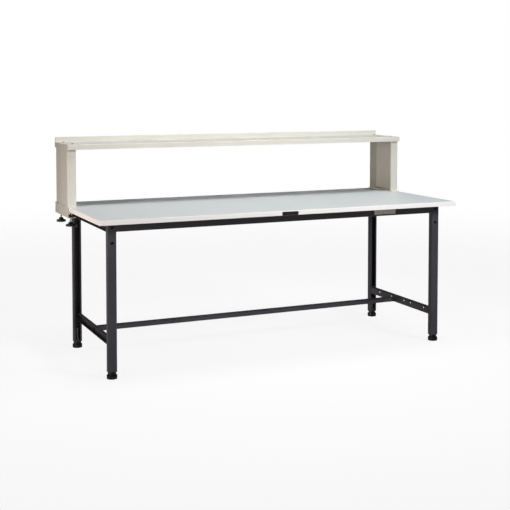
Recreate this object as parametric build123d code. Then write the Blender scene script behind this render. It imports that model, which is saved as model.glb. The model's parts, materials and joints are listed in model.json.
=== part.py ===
"""Workbench: a laminated worktop on a bolted steel frame, with an upper shelf
that clamps on to the worktop's side edges.

Lengths are millimetres. X runs along the bench, Y from front to rear, Z up.
Places are worked out with the worktop centred on X and Y and the floor at
zero, and the last step moves everything so that the middle of the whole
box lies on the Z axis."""

import os

from build123d import *

# Sides, as signs along X and Y
LEFT, RIGHT = -1, 1
FRONT, REAR = -1, 1
X_SIDES = {"left": LEFT, "right": RIGHT}
Y_SIDES = {"front": FRONT, "rear": REAR}

# Clearances and the overrun of every cut
body_gap = 0.3
turning_gap = 0.05
loose_gap = 0.3
overrun = 10

# Worktop: chipboard core, laminate above, backer below, plastic bands round the edges
top_length = 1800
top_width = 750
top_height = 700
laminate = 1
core_thickness = 19
backer = 1
band = 2
band_round = 1

# Frame sections, all folded from one sheet, set back from the worktop's edges
top_end_overhang = 53
top_side_overhang = 67
frame_length = top_length - 2 * top_end_overhang
frame_width = top_width - 2 * top_side_overhang
frame_sheet = 2
frame_bend = 3
leg_width = 40
leg_depth = 28
leg_lip = 8
leg_bottom = 30
apron_height = 39
apron_depth = 25
rail_width = 20
lower_rail_height = 35
lower_rail_bottom = 131
stretcher_depth = 35
stretcher_height = 20
stretcher_rise = 2.5
stretcher_front = 33

# Row of holes in the lower rails, in steps of their pitch from the middle
rail_hole = 8.5
rail_hole_pitch = 60
rail_hole_rise = 24
rail_hole_steps = (-4, -2, -1, 1, 3)

# Cable slot at the foot of each rear leg
slot_width = 5.5
slot_height = 28
slot_offset = 8

# Corner brackets inside the legs, with the bolts that set the leg's height
bracket_plate = 3
bracket_margin = 17.5
bracket_tongue = 60
leg_bolt = 8
leg_bolt_pitch = 67
leg_bolt_head = 13
leg_bolt_head_height = 4
leg_nut_across = 13
leg_nut_height = 6.5
gusset_sheet = 3
gusset_reach = 60

# Stretcher ends and their bolts
end_plate = 3
stretcher_bolt = 8
stretcher_nut_across = 13
stretcher_nut_height = 6.5

# Screws that hold the worktop down on the aprons and the top rails
wood_screw = 4.5
wood_screw_head = 9
wood_screw_head_height = 3
wood_screw_bite = 15
driver_hole = 14
apron_screw_pitch = 350
apron_screw_steps = (-2, -1, 0, 1, 2)
rail_screw_reach = 170

# Levelling feet
foot_base = 46
foot_base_height = 18
foot_neck = 36
foot_round = 2.5
foot_floor = 8
stem = 10
stem_length = 87.7
socket_plate = 4
socket_boss = 18
socket_boss_height = 12
stem_slot = 1.6
stem_slot_depth = 2

# Blank plates
name_plate_length = 81
name_plate_height = 16.5
name_plate_thickness = 1.2
name_plate_centre = -5.5
name_plate_rise = 0.5
name_plate_round = 1
label_length = 118
label_height = 24
label_thickness = 0.5
label_end_gap = 304

# Upper shelf: one folded tray with an upstand along its rear edge
shelf_depth = 250
shelf_centre = 271
shelf_rise = 294
shelf_skirt = 25
shelf_upstand = 24
shelf_sheet = 1.5
shelf_bend = 2.5
shelf_hem = 12
stiffener_width = 60
stiffener_height = 20

# Uprights: wide channels with their webs outside
upright_width = 216
upright_sheet = 1.5
upright_bend = 2.5

# Clamp brackets that wrap the worktop's side edges
clamp_plate = 3
clamp_bend = 4.5
clamp_side_gap = 1
clamp_top_reach = 44
clamp_arm_reach = 38
clamp_opening = 26

# Clamp screws with star knobs and pads
clamp_screw = 8
clamp_screw_inset = 20
clamp_screw_reach = 92
clamp_nut_across = 13
clamp_nut_height = 6.5
pad = 20
pad_height = 6
pad_round = 1
pad_socket = 4
knob = 46
knob_clearance = 14.5
knob_height = 15
knob_boss = 20
knob_boss_height = 6
knob_lobes = 8
knob_flute = 9
knob_flute_bite = 2.5
knob_round = 2.5
knob_bolt_depth = 12

# Shelf screws and the studs under the uprights
shelf_screw = 6
shelf_screw_head = 11
shelf_screw_head_height = 3
shelf_screw_inset = 33
shelf_screw_reach = 85
shelf_nut_across = 10
shelf_nut_height = 5
stud = 6
stud_reach = 60
stud_length = 10

# Places that follow from the driving dimensions
top_bottom = top_height - laminate - core_thickness - backer
frame_x = frame_length / 2
frame_y = frame_width / 2
leg_inner_x = frame_x - leg_width
leg_x = frame_x - leg_width / 2
leg_inner_y = frame_y - leg_depth
leg_y = frame_y - leg_depth / 2
apron_bottom = top_bottom - apron_height
top_rail_width = leg_width
leg_bolt_heights = (apron_bottom + apron_height / 2, apron_bottom + apron_height / 2 - leg_bolt_pitch)
bracket_bottom = min(leg_bolt_heights) - bracket_margin
label_centre = top_length / 2 - label_end_gap - label_length / 2
stem_bottom = foot_floor + body_gap
stem_top = stem_bottom + stem_length
rail_hole_height = lower_rail_bottom + rail_hole_rise
stretcher_bottom = lower_rail_bottom + stretcher_rise
stretcher_y = stretcher_front + stretcher_depth / 2
shelf_front = shelf_centre - shelf_depth / 2
shelf_rear = shelf_centre + shelf_depth / 2
shelf_top = top_height + shelf_rise
shelf_underside = shelf_top - shelf_sheet
shelf_bottom = shelf_top - shelf_skirt
stand_x = top_length / 2 + clamp_side_gap + clamp_plate
upright_x = stand_x - shelf_sheet
upright_depth = clamp_top_reach - shelf_sheet
clamp_top = top_height + body_gap + clamp_plate
clamp_screw_x = stand_x - clamp_screw_inset
shelf_screw_x = stand_x - shelf_screw_inset
pad_top = top_bottom - body_gap
clamp_arm_top = top_bottom - clamp_opening
clamp_arm_bottom = clamp_arm_top - clamp_plate
knob_top = clamp_arm_bottom - clamp_nut_height - knob_clearance - knob_boss_height
knob_bottom = knob_top - knob_height
middle_shift = (top_width / 2 + name_plate_thickness - shelf_rear) / 2


def block(x_from, x_to, y_from, y_to, z_from, z_to):
    """Box between two corners."""
    middle = Pos((x_from + x_to) / 2, (y_from + y_to) / 2, (z_from + z_to) / 2)
    return middle * Box(abs(x_to - x_from), abs(y_to - y_from), abs(z_to - z_from))


def rod(start, way, diameter, length):
    """Round bar that starts at a point and runs one way."""
    bar = Cylinder(diameter / 2, length, align=(Align.CENTER, Align.CENTER, Align.MIN))
    return Plane(origin=start, z_dir=way) * bar


def hexagon(start, way, across, length):
    """Six-sided bar, measured across its flats."""
    outline = RegularPolygon(across / 2, side_count=6, major_radius=False)
    return Plane(origin=start, z_dir=way) * extrude(outline, amount=length)


def channel(width, depth, sheet, bend, lip=0):
    """Folded channel section, web towards +Y and open towards -Y, centred on its outer box."""
    tail = 0 if lip else 2 * bend
    shape = RectangleRounded(width, depth + tail, bend)
    shape -= RectangleRounded(width - 2 * sheet, depth + tail - 2 * sheet, bend - sheet)
    if lip:
        mouth = Rectangle(width - 2 * lip, 2 * sheet)
        return shape - Pos(0, -depth / 2) * mouth
    waste = Rectangle(width + 2 * overrun, tail + overrun, align=(Align.CENTER, Align.MAX))
    return Pos(0, -tail / 2) * shape - Pos(0, -depth / 2) * waste


def beam(section, start, along, web, length):
    """Section run along one way from a point, with its web turned towards another way."""
    across = Vector(*web).cross(Vector(*along))
    return Plane(origin=start, x_dir=across, z_dir=along) * extrude(section, amount=length)


def group(shapes):
    """One node of several separate solids."""
    return Compound([shape.solid() for shape in shapes])


def mirrored(shape, side):
    """The right-hand shape itself, or its mirror image for the left."""
    return shape if side == RIGHT else mirror(shape, about=Plane.YZ)


def turned_front(shape, side):
    """The rear shape itself, or its mirror image for the front."""
    return shape if side == REAR else mirror(shape, about=Plane.XZ)


def corners():
    """Name ending and signs of the four corners."""
    for y_name, y_side in Y_SIDES.items():
        for x_name, x_side in X_SIDES.items():
            yield f"{y_name}_{x_name}", x_side, y_side


pieces = {}


# Worktop

def worktop_screw_places():
    """Where the wood screws rise through the aprons and the top rails."""
    apron_y = frame_y - apron_depth / 2
    for y_side in Y_SIDES.values():
        for step in apron_screw_steps:
            yield step * apron_screw_pitch, y_side * apron_y
    for x_side in X_SIDES.values():
        for y_side in Y_SIDES.values():
            yield x_side * (leg_inner_x + (frame_bend + top_rail_width) / 2), y_side * rail_screw_reach


def worktop_screw_holes(diameter, z_from, z_to):
    """Upright holes at every worktop screw."""
    return [rod((x, y, z_from), (0, 0, 1), diameter, z_to - z_from) for x, y in worktop_screw_places()]


def board(z_from, z_to):
    """Flat board inside the edge bands."""
    reach_x = top_length / 2 - band
    reach_y = top_width / 2 - band
    return block(-reach_x, reach_x, -reach_y, reach_y, z_from, z_to)


def long_band():
    """Rear edge band, the full length of the worktop, with its outer edges eased."""
    strip = block(-top_length / 2, top_length / 2, top_width / 2 - band, top_width / 2, top_bottom, top_height)
    eased = strip.edges().filter_by(Axis.X).group_by(Axis.Y)[-1]
    return fillet(eased, band_round)


def short_band():
    """Right edge band, between the long bands."""
    reach = top_width / 2 - band
    strip = block(top_length / 2 - band, top_length / 2, -reach, reach, top_bottom, top_height)
    eased = strip.edges().filter_by(Axis.Y).group_by(Axis.X)[-1]
    return fillet(eased, band_round)


screw_tip = top_bottom + backer + wood_screw_bite
core_bottom = top_bottom + backer
pilot = wood_screw + 2 * turning_gap
pieces["worktop_core"] = board(core_bottom, top_height - laminate) - worktop_screw_holes(
    pilot, core_bottom - overrun, screw_tip + body_gap)
pieces["worktop_laminate"] = board(top_height - laminate, top_height)
pieces["worktop_backer"] = board(top_bottom, core_bottom) - worktop_screw_holes(
    pilot, top_bottom - overrun, core_bottom + overrun)
for y_name, y_side in Y_SIDES.items():
    pieces[f"edge_band_{y_name}"] = turned_front(long_band(), y_side)
for x_name, x_side in X_SIDES.items():
    pieces[f"edge_band_{x_name}"] = mirrored(short_band(), x_side)


def name_plate():
    """Bare plate on the front edge band."""
    bottom = top_bottom + name_plate_rise
    face = -top_width / 2
    plate = block(name_plate_centre - name_plate_length / 2, name_plate_centre + name_plate_length / 2,
                  face - name_plate_thickness, face, bottom, bottom + name_plate_height)
    return fillet(plate.edges().filter_by(Axis.Y), name_plate_round)


pieces["name_plate"] = name_plate()


# Top frame

def apron():
    """Rear apron, an open channel between the legs, with holes for the worktop screws."""
    section = channel(apron_height, apron_depth, frame_sheet, frame_bend)
    start = (-leg_inner_x, frame_y - apron_depth / 2, apron_bottom + apron_height / 2)
    bar = beam(section, start, (1, 0, 0), (0, 1, 0), 2 * leg_inner_x)
    bar -= worktop_screw_holes(pilot, top_bottom - frame_sheet - overrun, top_bottom + overrun)
    return bar - worktop_screw_holes(driver_hole, apron_bottom - overrun, apron_bottom + overrun)


def side_rail(bottom, height, width):
    """Right side rail between the legs, web inside and open outwards."""
    section = channel(height, width, frame_sheet, frame_bend)
    start = (leg_inner_x + width / 2, -leg_inner_y, bottom + height / 2)
    return beam(section, start, (0, 1, 0), (-1, 0, 0), 2 * leg_inner_y)


def top_rail():
    """Right top rail, as wide as the legs, with holes for the worktop screws."""
    rail = side_rail(apron_bottom, apron_height, top_rail_width)
    rail -= worktop_screw_holes(pilot, top_bottom - frame_sheet - overrun, top_bottom + overrun)
    return rail - worktop_screw_holes(driver_hole, apron_bottom - overrun, apron_bottom + overrun)


def corner_gusset():
    """Folded angle that joins the rear right ends of apron and top rail."""
    z_from = apron_bottom + frame_bend
    z_to = top_bottom - frame_bend
    apron_face = frame_y - frame_sheet
    flat = block(leg_inner_x - gusset_reach, leg_inner_x, apron_face - gusset_sheet, apron_face, z_from, z_to)
    turned = block(leg_inner_x - gusset_sheet, leg_inner_x, apron_face - gusset_reach, apron_face, z_from, z_to)
    return flat + turned


def label():
    """Bare label on the front apron."""
    middle = apron_bottom + apron_height / 2
    return block(label_centre - label_length / 2, label_centre + label_length / 2,
                 -frame_y - label_thickness, -frame_y, middle - label_height / 2, middle + label_height / 2)


def at_each_corner(shape):
    """Four mirror images of one rear right shape, as one node."""
    return group(turned_front(mirrored(shape, x_side), y_side) for _, x_side, y_side in corners())


for y_name, y_side in Y_SIDES.items():
    pieces[f"{y_name}_apron"] = turned_front(apron(), y_side)
for x_name, x_side in X_SIDES.items():
    pieces[f"top_rail_{x_name}"] = mirrored(top_rail(), x_side)
pieces["corner_gussets"] = at_each_corner(corner_gusset())
pieces["apron_label"] = label()


# Legs and the brackets inside them

def leg(y_side):
    """Right rear leg, a lipped channel open inwards, or the right front one."""
    section = channel(leg_width, leg_depth, frame_sheet, frame_bend, leg_lip)
    bar = beam(section, (leg_x, leg_y, leg_bottom), (0, 0, 1), (0, 1, 0), top_bottom - leg_bottom)
    bolt_start = frame_y - frame_sheet - overrun
    for height in leg_bolt_heights:
        bar -= rod((leg_x, bolt_start, height), (0, 1, 0), leg_bolt + 2 * turning_gap, 2 * overrun)
    if y_side == REAR:
        slot_x = leg_x + slot_offset
        bar -= block(slot_x - slot_width / 2, slot_x + slot_width / 2, frame_y - frame_sheet - overrun,
                     frame_y + overrun, leg_bottom - overrun, leg_bottom + slot_height)
    return turned_front(bar, y_side)


def leg_bracket():
    """Plate behind the leg's web with a tongue welded into the top rail, rear right."""
    z_to = top_bottom - frame_sheet
    face = frame_y - frame_sheet
    reach = leg_width / 2 - frame_bend
    plate = block(leg_x - reach, leg_x + reach, face - bracket_plate, face, bracket_bottom, z_to)
    tongue_x = leg_x - leg_width / 2 + leg_lip + loose_gap
    tongue = block(tongue_x, tongue_x + bracket_plate, face - bracket_plate - bracket_tongue, face,
                   apron_bottom + frame_sheet, z_to)
    bracket = plate + tongue
    for height in leg_bolt_heights:
        bracket -= rod((leg_x, face - overrun, height), (0, 1, 0), leg_bolt + 2 * turning_gap, 2 * overrun)
    return bracket


def leg_bolt_piece(height):
    """Socket-head bolt through a rear right leg and its bracket."""
    shank = frame_sheet + bracket_plate + leg_nut_height
    bolt = rod((leg_x, frame_y - shank, height), (0, 1, 0), leg_bolt, shank)
    head = rod((leg_x, frame_y, height), (0, 1, 0), leg_bolt_head, leg_bolt_head_height)
    key = hexagon((leg_x, frame_y + leg_bolt_head_height / 2, height), (0, 1, 0), leg_bolt / 2, overrun)
    return bolt + head - key


def leg_nut(height):
    """Nut welded to the inside of a rear right bracket."""
    face = frame_y - frame_sheet - bracket_plate
    bore = rod((leg_x, face - leg_nut_height - overrun, height), (0, 1, 0), leg_bolt + 2 * turning_gap,
               leg_nut_height + 2 * overrun)
    return hexagon((leg_x, face - leg_nut_height, height), (0, 1, 0), leg_nut_across, leg_nut_height) - bore


def foot_socket():
    """Plate across the leg's end with a threaded boss for the foot, rear right."""
    reach_x = leg_width / 2 - frame_sheet
    reach_y = leg_depth / 2 - frame_sheet
    plate = block(leg_x - reach_x, leg_x + reach_x, leg_y - reach_y, leg_y + reach_y,
                  leg_bottom, leg_bottom + socket_plate)
    boss = rod((leg_x, leg_y, leg_bottom), (0, 0, 1), socket_boss, socket_plate + socket_boss_height)
    bore = rod((leg_x, leg_y, leg_bottom - overrun), (0, 0, 1), stem + 2 * turning_gap, stem_top)
    corner_cut = plate.edges().filter_by(Axis.Z)
    return fillet(corner_cut, frame_bend - frame_sheet) + boss - bore


for name, x_side, y_side in corners():
    pieces[f"leg_{name}"] = mirrored(leg(y_side), x_side)
pieces["leg_brackets"] = at_each_corner(leg_bracket())
leg_bolts = [turned_front(mirrored(leg_bolt_piece(height), x_side), y_side)
             for _, x_side, y_side in corners() for height in leg_bolt_heights]
pieces["foot_sockets"] = at_each_corner(foot_socket())


# Lower rails and stretcher

def lower_rail():
    """Right lower rail with its row of holes and the stretcher's bolt hole."""
    rail = side_rail(lower_rail_bottom, lower_rail_height, rail_width)
    start = leg_inner_x - overrun
    for step in rail_hole_steps:
        rail -= rod((start, step * rail_hole_pitch, rail_hole_height), (1, 0, 0), rail_hole, 2 * overrun)
    return rail - rod((start, stretcher_y, stretcher_bolt_z), (1, 0, 0), stretcher_bolt + 2 * turning_gap, 2 * overrun)


def stretcher():
    """Lower stretcher lying flat between the rails, web above."""
    section = channel(stretcher_depth, stretcher_height, frame_sheet, frame_bend)
    start = (-leg_inner_x, stretcher_y, stretcher_bottom + stretcher_height / 2)
    return beam(section, start, (1, 0, 0), (0, 0, 1), 2 * leg_inner_x)


def stretcher_end():
    """Right end plate inside the stretcher."""
    reach = stretcher_depth / 2 - frame_sheet
    plate = block(leg_inner_x - end_plate, leg_inner_x, stretcher_y - reach, stretcher_y + reach,
                  stretcher_bottom, stretcher_bottom + stretcher_height - frame_sheet)
    plate = fillet(plate.edges().filter_by(Axis.X).group_by(Axis.Z)[-1], frame_bend - frame_sheet)
    return plate - rod((leg_inner_x - overrun, stretcher_y, stretcher_bolt_z), (1, 0, 0),
                       stretcher_bolt + 2 * turning_gap, 2 * overrun)


def stretcher_bolt_piece():
    """Bolt from the rail's hollow into the stretcher's right end."""
    seat = leg_inner_x + frame_sheet
    shank = frame_sheet + end_plate + stretcher_nut_height
    bolt = rod((seat - shank, stretcher_y, stretcher_bolt_z), (1, 0, 0), stretcher_bolt, shank)
    return bolt + hexagon((seat, stretcher_y, stretcher_bolt_z), (1, 0, 0), stretcher_nut_across, stretcher_bolt / 2)


def stretcher_nut():
    """Nut welded behind the stretcher's right end plate."""
    start = leg_inner_x - end_plate - stretcher_nut_height
    nut = hexagon((start, stretcher_y, stretcher_bolt_z), (1, 0, 0), stretcher_nut_across, stretcher_nut_height)
    return nut - rod((start - overrun, stretcher_y, stretcher_bolt_z), (1, 0, 0),
                     stretcher_bolt + 2 * turning_gap, stretcher_nut_height + 2 * overrun)


def worktop_screw(x, y):
    """Pan-head wood screw up through a flange into the core."""
    seat = top_bottom - frame_sheet
    thread = rod((x, y, seat), (0, 0, 1), wood_screw, screw_tip - seat)
    return thread + rod((x, y, seat - wood_screw_head_height), (0, 0, 1), wood_screw_head, wood_screw_head_height)


stretcher_bolt_z = stretcher_bottom + (stretcher_height - frame_sheet) / 2
for x_name, x_side in X_SIDES.items():
    pieces[f"lower_rail_{x_name}"] = mirrored(lower_rail(), x_side)
pieces["lower_stretcher"] = stretcher()
pieces["stretcher_end_plates"] = group(mirrored(stretcher_end(), side) for side in X_SIDES.values())
pieces["frame_bolts"] = group(leg_bolts + [mirrored(stretcher_bolt_piece(), side) for side in X_SIDES.values()])
leg_nuts = [turned_front(mirrored(leg_nut(height), x_side), y_side)
            for _, x_side, y_side in corners() for height in leg_bolt_heights]
pieces["frame_nuts"] = group(leg_nuts + [mirrored(stretcher_nut(), side) for side in X_SIDES.values()])
pieces["worktop_screws"] = group(worktop_screw(x, y) for x, y in worktop_screw_places())


# Levelling feet

def foot_pad():
    """Moulded foot, rear right: wide base, neck and a socket for the stem."""
    top = leg_bottom - body_gap
    base = rod((leg_x, leg_y, 0), (0, 0, 1), foot_base, foot_base_height)
    base = fillet(base.edges().group_by(Axis.Z)[-1], foot_round)
    neck = rod((leg_x, leg_y, 0), (0, 0, 1), foot_neck, top)
    socket = rod((leg_x, leg_y, foot_floor), (0, 0, 1), stem + 2 * turning_gap, top)
    return base + neck - socket


def foot_stem():
    """Threaded stem, rear right, with a driver slot in its upper end."""
    bar = rod((leg_x, leg_y, stem_bottom), (0, 0, 1), stem, stem_length)
    slot = block(leg_x - stem, leg_x + stem, leg_y - stem_slot / 2, leg_y + stem_slot / 2,
                 stem_top - stem_slot_depth, stem_top + overrun)
    return bar - slot


for name, x_side, y_side in corners():
    pieces[f"foot_pad_{name}"] = turned_front(mirrored(foot_pad(), x_side), y_side)
    pieces[f"foot_stem_{name}"] = turned_front(mirrored(foot_stem(), x_side), y_side)


# Upper shelf stand

def shelf_screw_places():
    """Where the shelf is screwed to the right upright."""
    return [(shelf_screw_x, shelf_centre + side * shelf_screw_reach) for side in Y_SIDES.values()]


def shelf_holes():
    """Screw holes through the shelf and both uprights' top flanges."""
    return [rod((side * x, y, shelf_underside - overrun), (0, 0, 1), shelf_screw + 2 * turning_gap, 2 * overrun)
            for x, y in shelf_screw_places() for side in X_SIDES.values()]


def shelf_tray():
    """The folded sheet: deck, skirt on three sides with a hem in front, and a rear upstand."""
    outer = block(-stand_x, stand_x, shelf_front, shelf_rear + overrun, shelf_bottom, shelf_top)
    rims = outer.edges().group_by(Axis.Z)[-1] + outer.edges().filter_by(Axis.Z)
    outer = fillet(rims, shelf_bend)
    inner_x = stand_x - shelf_sheet
    inner = block(-inner_x, inner_x, shelf_front + shelf_sheet, shelf_rear + 2 * overrun,
                  shelf_bottom - overrun, shelf_underside)
    inner_rims = inner.edges().group_by(Axis.Z)[-1] + inner.edges().filter_by(Axis.Z)
    tray = outer - fillet(inner_rims, shelf_bend - shelf_sheet)
    tray -= block(-2 * stand_x, 2 * stand_x, shelf_rear, shelf_rear + 3 * overrun, 0, 2 * shelf_top)
    tray += upstand_space()
    tray += block(-inner_x, inner_x, shelf_front + shelf_sheet / 2, shelf_front + shelf_hem,
                  shelf_bottom, shelf_bottom + shelf_sheet)
    return tray - shelf_holes()


def upstand_space():
    """The upstand, from the deck's underside up."""
    return block(-stand_x, stand_x, shelf_rear - shelf_sheet, shelf_rear, shelf_underside, shelf_top + shelf_upstand)


def front_edge_space():
    """Room of the shelf's front edge, as deep as its hem."""
    return block(-stand_x, stand_x, shelf_front, shelf_front + shelf_hem, shelf_bottom, shelf_top)


def end_space():
    """Room of the shelf's right end, as far in as its bend."""
    return block(stand_x - shelf_bend, stand_x, shelf_front + shelf_hem, shelf_rear,
                 shelf_bottom, shelf_top) - upstand_space()


def shelf_stiffener():
    """Channel welded under the deck between the uprights."""
    section = channel(stiffener_width, stiffener_height, shelf_sheet, shelf_bend)
    reach = upright_x - upright_depth
    start = (-reach, shelf_centre, shelf_underside - stiffener_height / 2)
    return beam(section, start, (1, 0, 0), (0, 0, -1), 2 * reach)


def stud_places():
    """Where studs stand on the right clamp bracket, under the upright's foot."""
    x = upright_x - upright_depth / 2
    return [(x, shelf_centre + side * stud_reach) for side in Y_SIDES.values()]


def upright():
    """Right upright, web outside, with a flange under the shelf and one on the bracket."""
    section = channel(upright_width, upright_depth, upright_sheet, upright_bend)
    bend_room = shelf_bend - shelf_sheet
    height = shelf_underside - bend_room - clamp_top
    wall = beam(section, (upright_x - upright_depth / 2, shelf_centre, clamp_top), (0, 0, 1), (1, 0, 0), height)
    reach = upright_width / 2 - upright_bend
    inner_x = upright_x - upright_depth
    outer_x = upright_x - bend_room
    foot = block(inner_x, outer_x, shelf_centre - reach, shelf_centre + reach, clamp_top, clamp_top + upright_sheet)
    head = block(inner_x, outer_x, shelf_centre - reach, shelf_centre + reach,
                 shelf_underside - upright_sheet, shelf_underside)
    shape = wall + foot + head - shelf_holes()
    for x, y in stud_places():
        shape -= rod((x, y, clamp_top - overrun), (0, 0, 1), stud + 2 * turning_gap, 2 * overrun)
    return shape


def clamp_screw_places():
    """Axes of the two clamp screws on the right."""
    return [(clamp_screw_x, shelf_centre + side * clamp_screw_reach) for side in Y_SIDES.values()]


def clamp_bracket():
    """Right bracket round the worktop's edge: plate above, side wall and arm below, with studs."""
    height = clamp_top - clamp_arm_bottom
    section = channel(height, clamp_top_reach, clamp_plate, clamp_bend)
    start = (stand_x - clamp_top_reach / 2, shelf_front, clamp_arm_bottom + height / 2)
    bracket = beam(section, start, (0, 1, 0), (1, 0, 0), shelf_depth)
    bracket -= block(0, stand_x - clamp_arm_reach, shelf_front - overrun, shelf_rear + overrun,
                     clamp_arm_bottom - overrun, clamp_arm_top + overrun)
    for x, y in clamp_screw_places():
        bracket -= rod((x, y, clamp_arm_bottom - overrun), (0, 0, 1), clamp_screw + 2 * loose_gap, 2 * overrun)
    for x, y in stud_places():
        bracket += rod((x, y, clamp_top - clamp_plate / 2), (0, 0, 1), stud, stud_length + clamp_plate / 2)
    return bracket


def clamp_nut(x, y):
    """Nut welded under the right bracket's arm."""
    nut = hexagon((x, y, clamp_arm_bottom - clamp_nut_height), (0, 0, 1), clamp_nut_across, clamp_nut_height)
    return nut - rod((x, y, clamp_arm_bottom - clamp_nut_height - overrun), (0, 0, 1),
                     clamp_screw + 2 * turning_gap, clamp_nut_height + 2 * overrun)


def stud_nut(x, y):
    """Nut on a stud, tight on the upright's foot."""
    seat = clamp_top + upright_sheet
    nut = hexagon((x, y, seat), (0, 0, 1), shelf_nut_across, shelf_nut_height)
    return nut - rod((x, y, seat - overrun), (0, 0, 1), stud + 2 * turning_gap, shelf_nut_height + 2 * overrun)


def shelf_nut(x, y):
    """Nut on a shelf screw, under the upright's head."""
    bottom = shelf_underside - upright_sheet - shelf_nut_height
    nut = hexagon((x, y, bottom), (0, 0, 1), shelf_nut_across, shelf_nut_height)
    return nut - rod((x, y, bottom - overrun), (0, 0, 1), shelf_screw + 2 * turning_gap,
                     shelf_nut_height + 2 * overrun)


def shelf_screw_piece(x, y):
    """Button-head screw down through the shelf and the upright's head."""
    length = shelf_sheet + upright_sheet + shelf_nut_height + shelf_sheet
    screw = rod((x, y, shelf_top - length), (0, 0, 1), shelf_screw, length)
    head = rod((x, y, shelf_top), (0, 0, 1), shelf_screw_head, shelf_screw_head_height)
    head = fillet(head.edges().group_by(Axis.Z)[-1], shelf_screw_head_height / 2)
    key = hexagon((x, y, shelf_top + shelf_screw_head_height / 2), (0, 0, 1), shelf_screw / 2, overrun)
    return screw + head - key


def on_both_ends(make, places):
    """A piece at each place on the right and its mirror image on the left."""
    return [mirrored(make(x, y), side) for side in X_SIDES.values() for x, y in places]


tray = shelf_tray()
rims = [upstand_space(), front_edge_space()] + [mirrored(end_space(), side) for side in X_SIDES.values()]
pieces["shelf_deck"] = (tray - rims).solid()
pieces["shelf_front_edge"] = (tray & front_edge_space()).solid()
pieces["shelf_upstand"] = (tray & upstand_space()).solid()
pieces["shelf_stiffener"] = shelf_stiffener()
for x_name, x_side in X_SIDES.items():
    pieces[f"shelf_end_{x_name}"] = (tray & mirrored(end_space(), x_side)).solid()
    pieces[f"upright_{x_name}"] = mirrored(upright(), x_side)
    pieces[f"clamp_bracket_{x_name}"] = mirrored(clamp_bracket(), x_side)
pieces["shelf_screws"] = group(on_both_ends(shelf_screw_piece, shelf_screw_places()))
pieces["stand_nuts"] = group(
    on_both_ends(shelf_nut, shelf_screw_places())
    + on_both_ends(stud_nut, stud_places())
    + on_both_ends(clamp_nut, clamp_screw_places()))


# Clamp screws with their knobs and pads

def clamp_pad(x, y):
    """Round pad on the screw's upper end."""
    bottom = pad_top - pad_height
    disc = rod((x, y, bottom), (0, 0, 1), pad, pad_height)
    disc = fillet(disc.edges().group_by(Axis.Z)[-1], pad_round)
    return disc - rod((x, y, bottom - overrun), (0, 0, 1), clamp_screw + 2 * turning_gap, overrun + pad_socket)


def clamp_screw_bar(x, y):
    """Screw from inside the knob up into the pad."""
    bottom = knob_top + knob_boss_height - knob_bolt_depth
    top = pad_top - pad_height + pad_socket - body_gap
    return rod((x, y, bottom), (0, 0, 1), clamp_screw, top - bottom)


def clamp_knob(x, y):
    """Star knob: a fluted head below a round boss."""
    head = rod((x, y, knob_bottom), (0, 0, 1), knob, knob_height)
    head = fillet(head.edges().filter_by(GeomType.CIRCLE), knob_round)
    flute_x = knob / 2 + knob_flute / 2 - knob_flute_bite
    flute = rod((flute_x, 0, knob_bottom - overrun), (0, 0, 1), knob_flute, knob_height + 2 * overrun)
    head -= [Pos(x, y, 0) * Rot(0, 0, 360 * lobe / knob_lobes) * flute for lobe in range(knob_lobes)]
    boss = rod((x, y, knob_top - knob_round), (0, 0, 1), knob_boss, knob_round + knob_boss_height)
    bore = rod((x, y, knob_top + knob_boss_height - knob_bolt_depth), (0, 0, 1),
               clamp_screw + 2 * turning_gap, knob_bolt_depth + overrun)
    return head + boss - bore


for x_name, x_side in X_SIDES.items():
    for y_name, (x, y) in zip(Y_SIDES, clamp_screw_places()):
        name = f"{x_name}_{y_name}"
        pieces[f"clamp_pad_{name}"] = mirrored(clamp_pad(x, y), x_side)
        pieces[f"clamp_screw_{name}"] = mirrored(clamp_screw_bar(x, y), x_side)
        pieces[f"clamp_knob_{name}"] = mirrored(clamp_knob(x, y), x_side)


os.makedirs("parts", exist_ok=True)
for name, shape in pieces.items():
    export_step(Pos(0, middle_shift, 0) * shape, f"parts/{name}.step")
print(len(pieces), "nodes, worktop centre at y", middle_shift)
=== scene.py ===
# %% [markdown]
# # Dressing a workbench with a clamp-on shelf
# The bench arrives as a finished frame: every panel, channel, bolt and screw is already in
# its place and at its real size. This notebook gives each its surface, and makes again,
# finer, what a workshop's eye looks for: rolled threads, lobed knobs, turned feet, weld
# seams, nuts and screw heads. Lengths are metres, X runs along the bench, Y from front to
# rear and Z up.

# %% Load the bench
import json
import math

import bmesh
import bpy
from mathutils import Matrix, Vector


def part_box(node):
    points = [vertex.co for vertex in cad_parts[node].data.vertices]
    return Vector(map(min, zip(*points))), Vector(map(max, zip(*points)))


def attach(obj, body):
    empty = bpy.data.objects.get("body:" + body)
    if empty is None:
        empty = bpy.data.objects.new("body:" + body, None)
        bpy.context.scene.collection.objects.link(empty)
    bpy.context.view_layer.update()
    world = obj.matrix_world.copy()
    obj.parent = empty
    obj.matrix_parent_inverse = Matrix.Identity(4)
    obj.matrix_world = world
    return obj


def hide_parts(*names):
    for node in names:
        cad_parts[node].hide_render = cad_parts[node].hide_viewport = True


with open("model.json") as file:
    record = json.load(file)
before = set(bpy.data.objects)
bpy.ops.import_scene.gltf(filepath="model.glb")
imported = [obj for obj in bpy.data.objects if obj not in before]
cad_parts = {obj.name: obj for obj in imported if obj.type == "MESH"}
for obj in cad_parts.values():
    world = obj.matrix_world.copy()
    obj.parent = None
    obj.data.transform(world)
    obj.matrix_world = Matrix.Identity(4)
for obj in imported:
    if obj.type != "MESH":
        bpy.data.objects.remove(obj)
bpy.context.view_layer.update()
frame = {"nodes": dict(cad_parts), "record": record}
MM = 0.001
X_SIDES = {"left": -1, "right": 1}
Y_SIDES = {"front": -1, "rear": 1}
CORNERS = [f"{y_name}_{x_name}" for y_name in Y_SIDES for x_name in X_SIDES]
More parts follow.
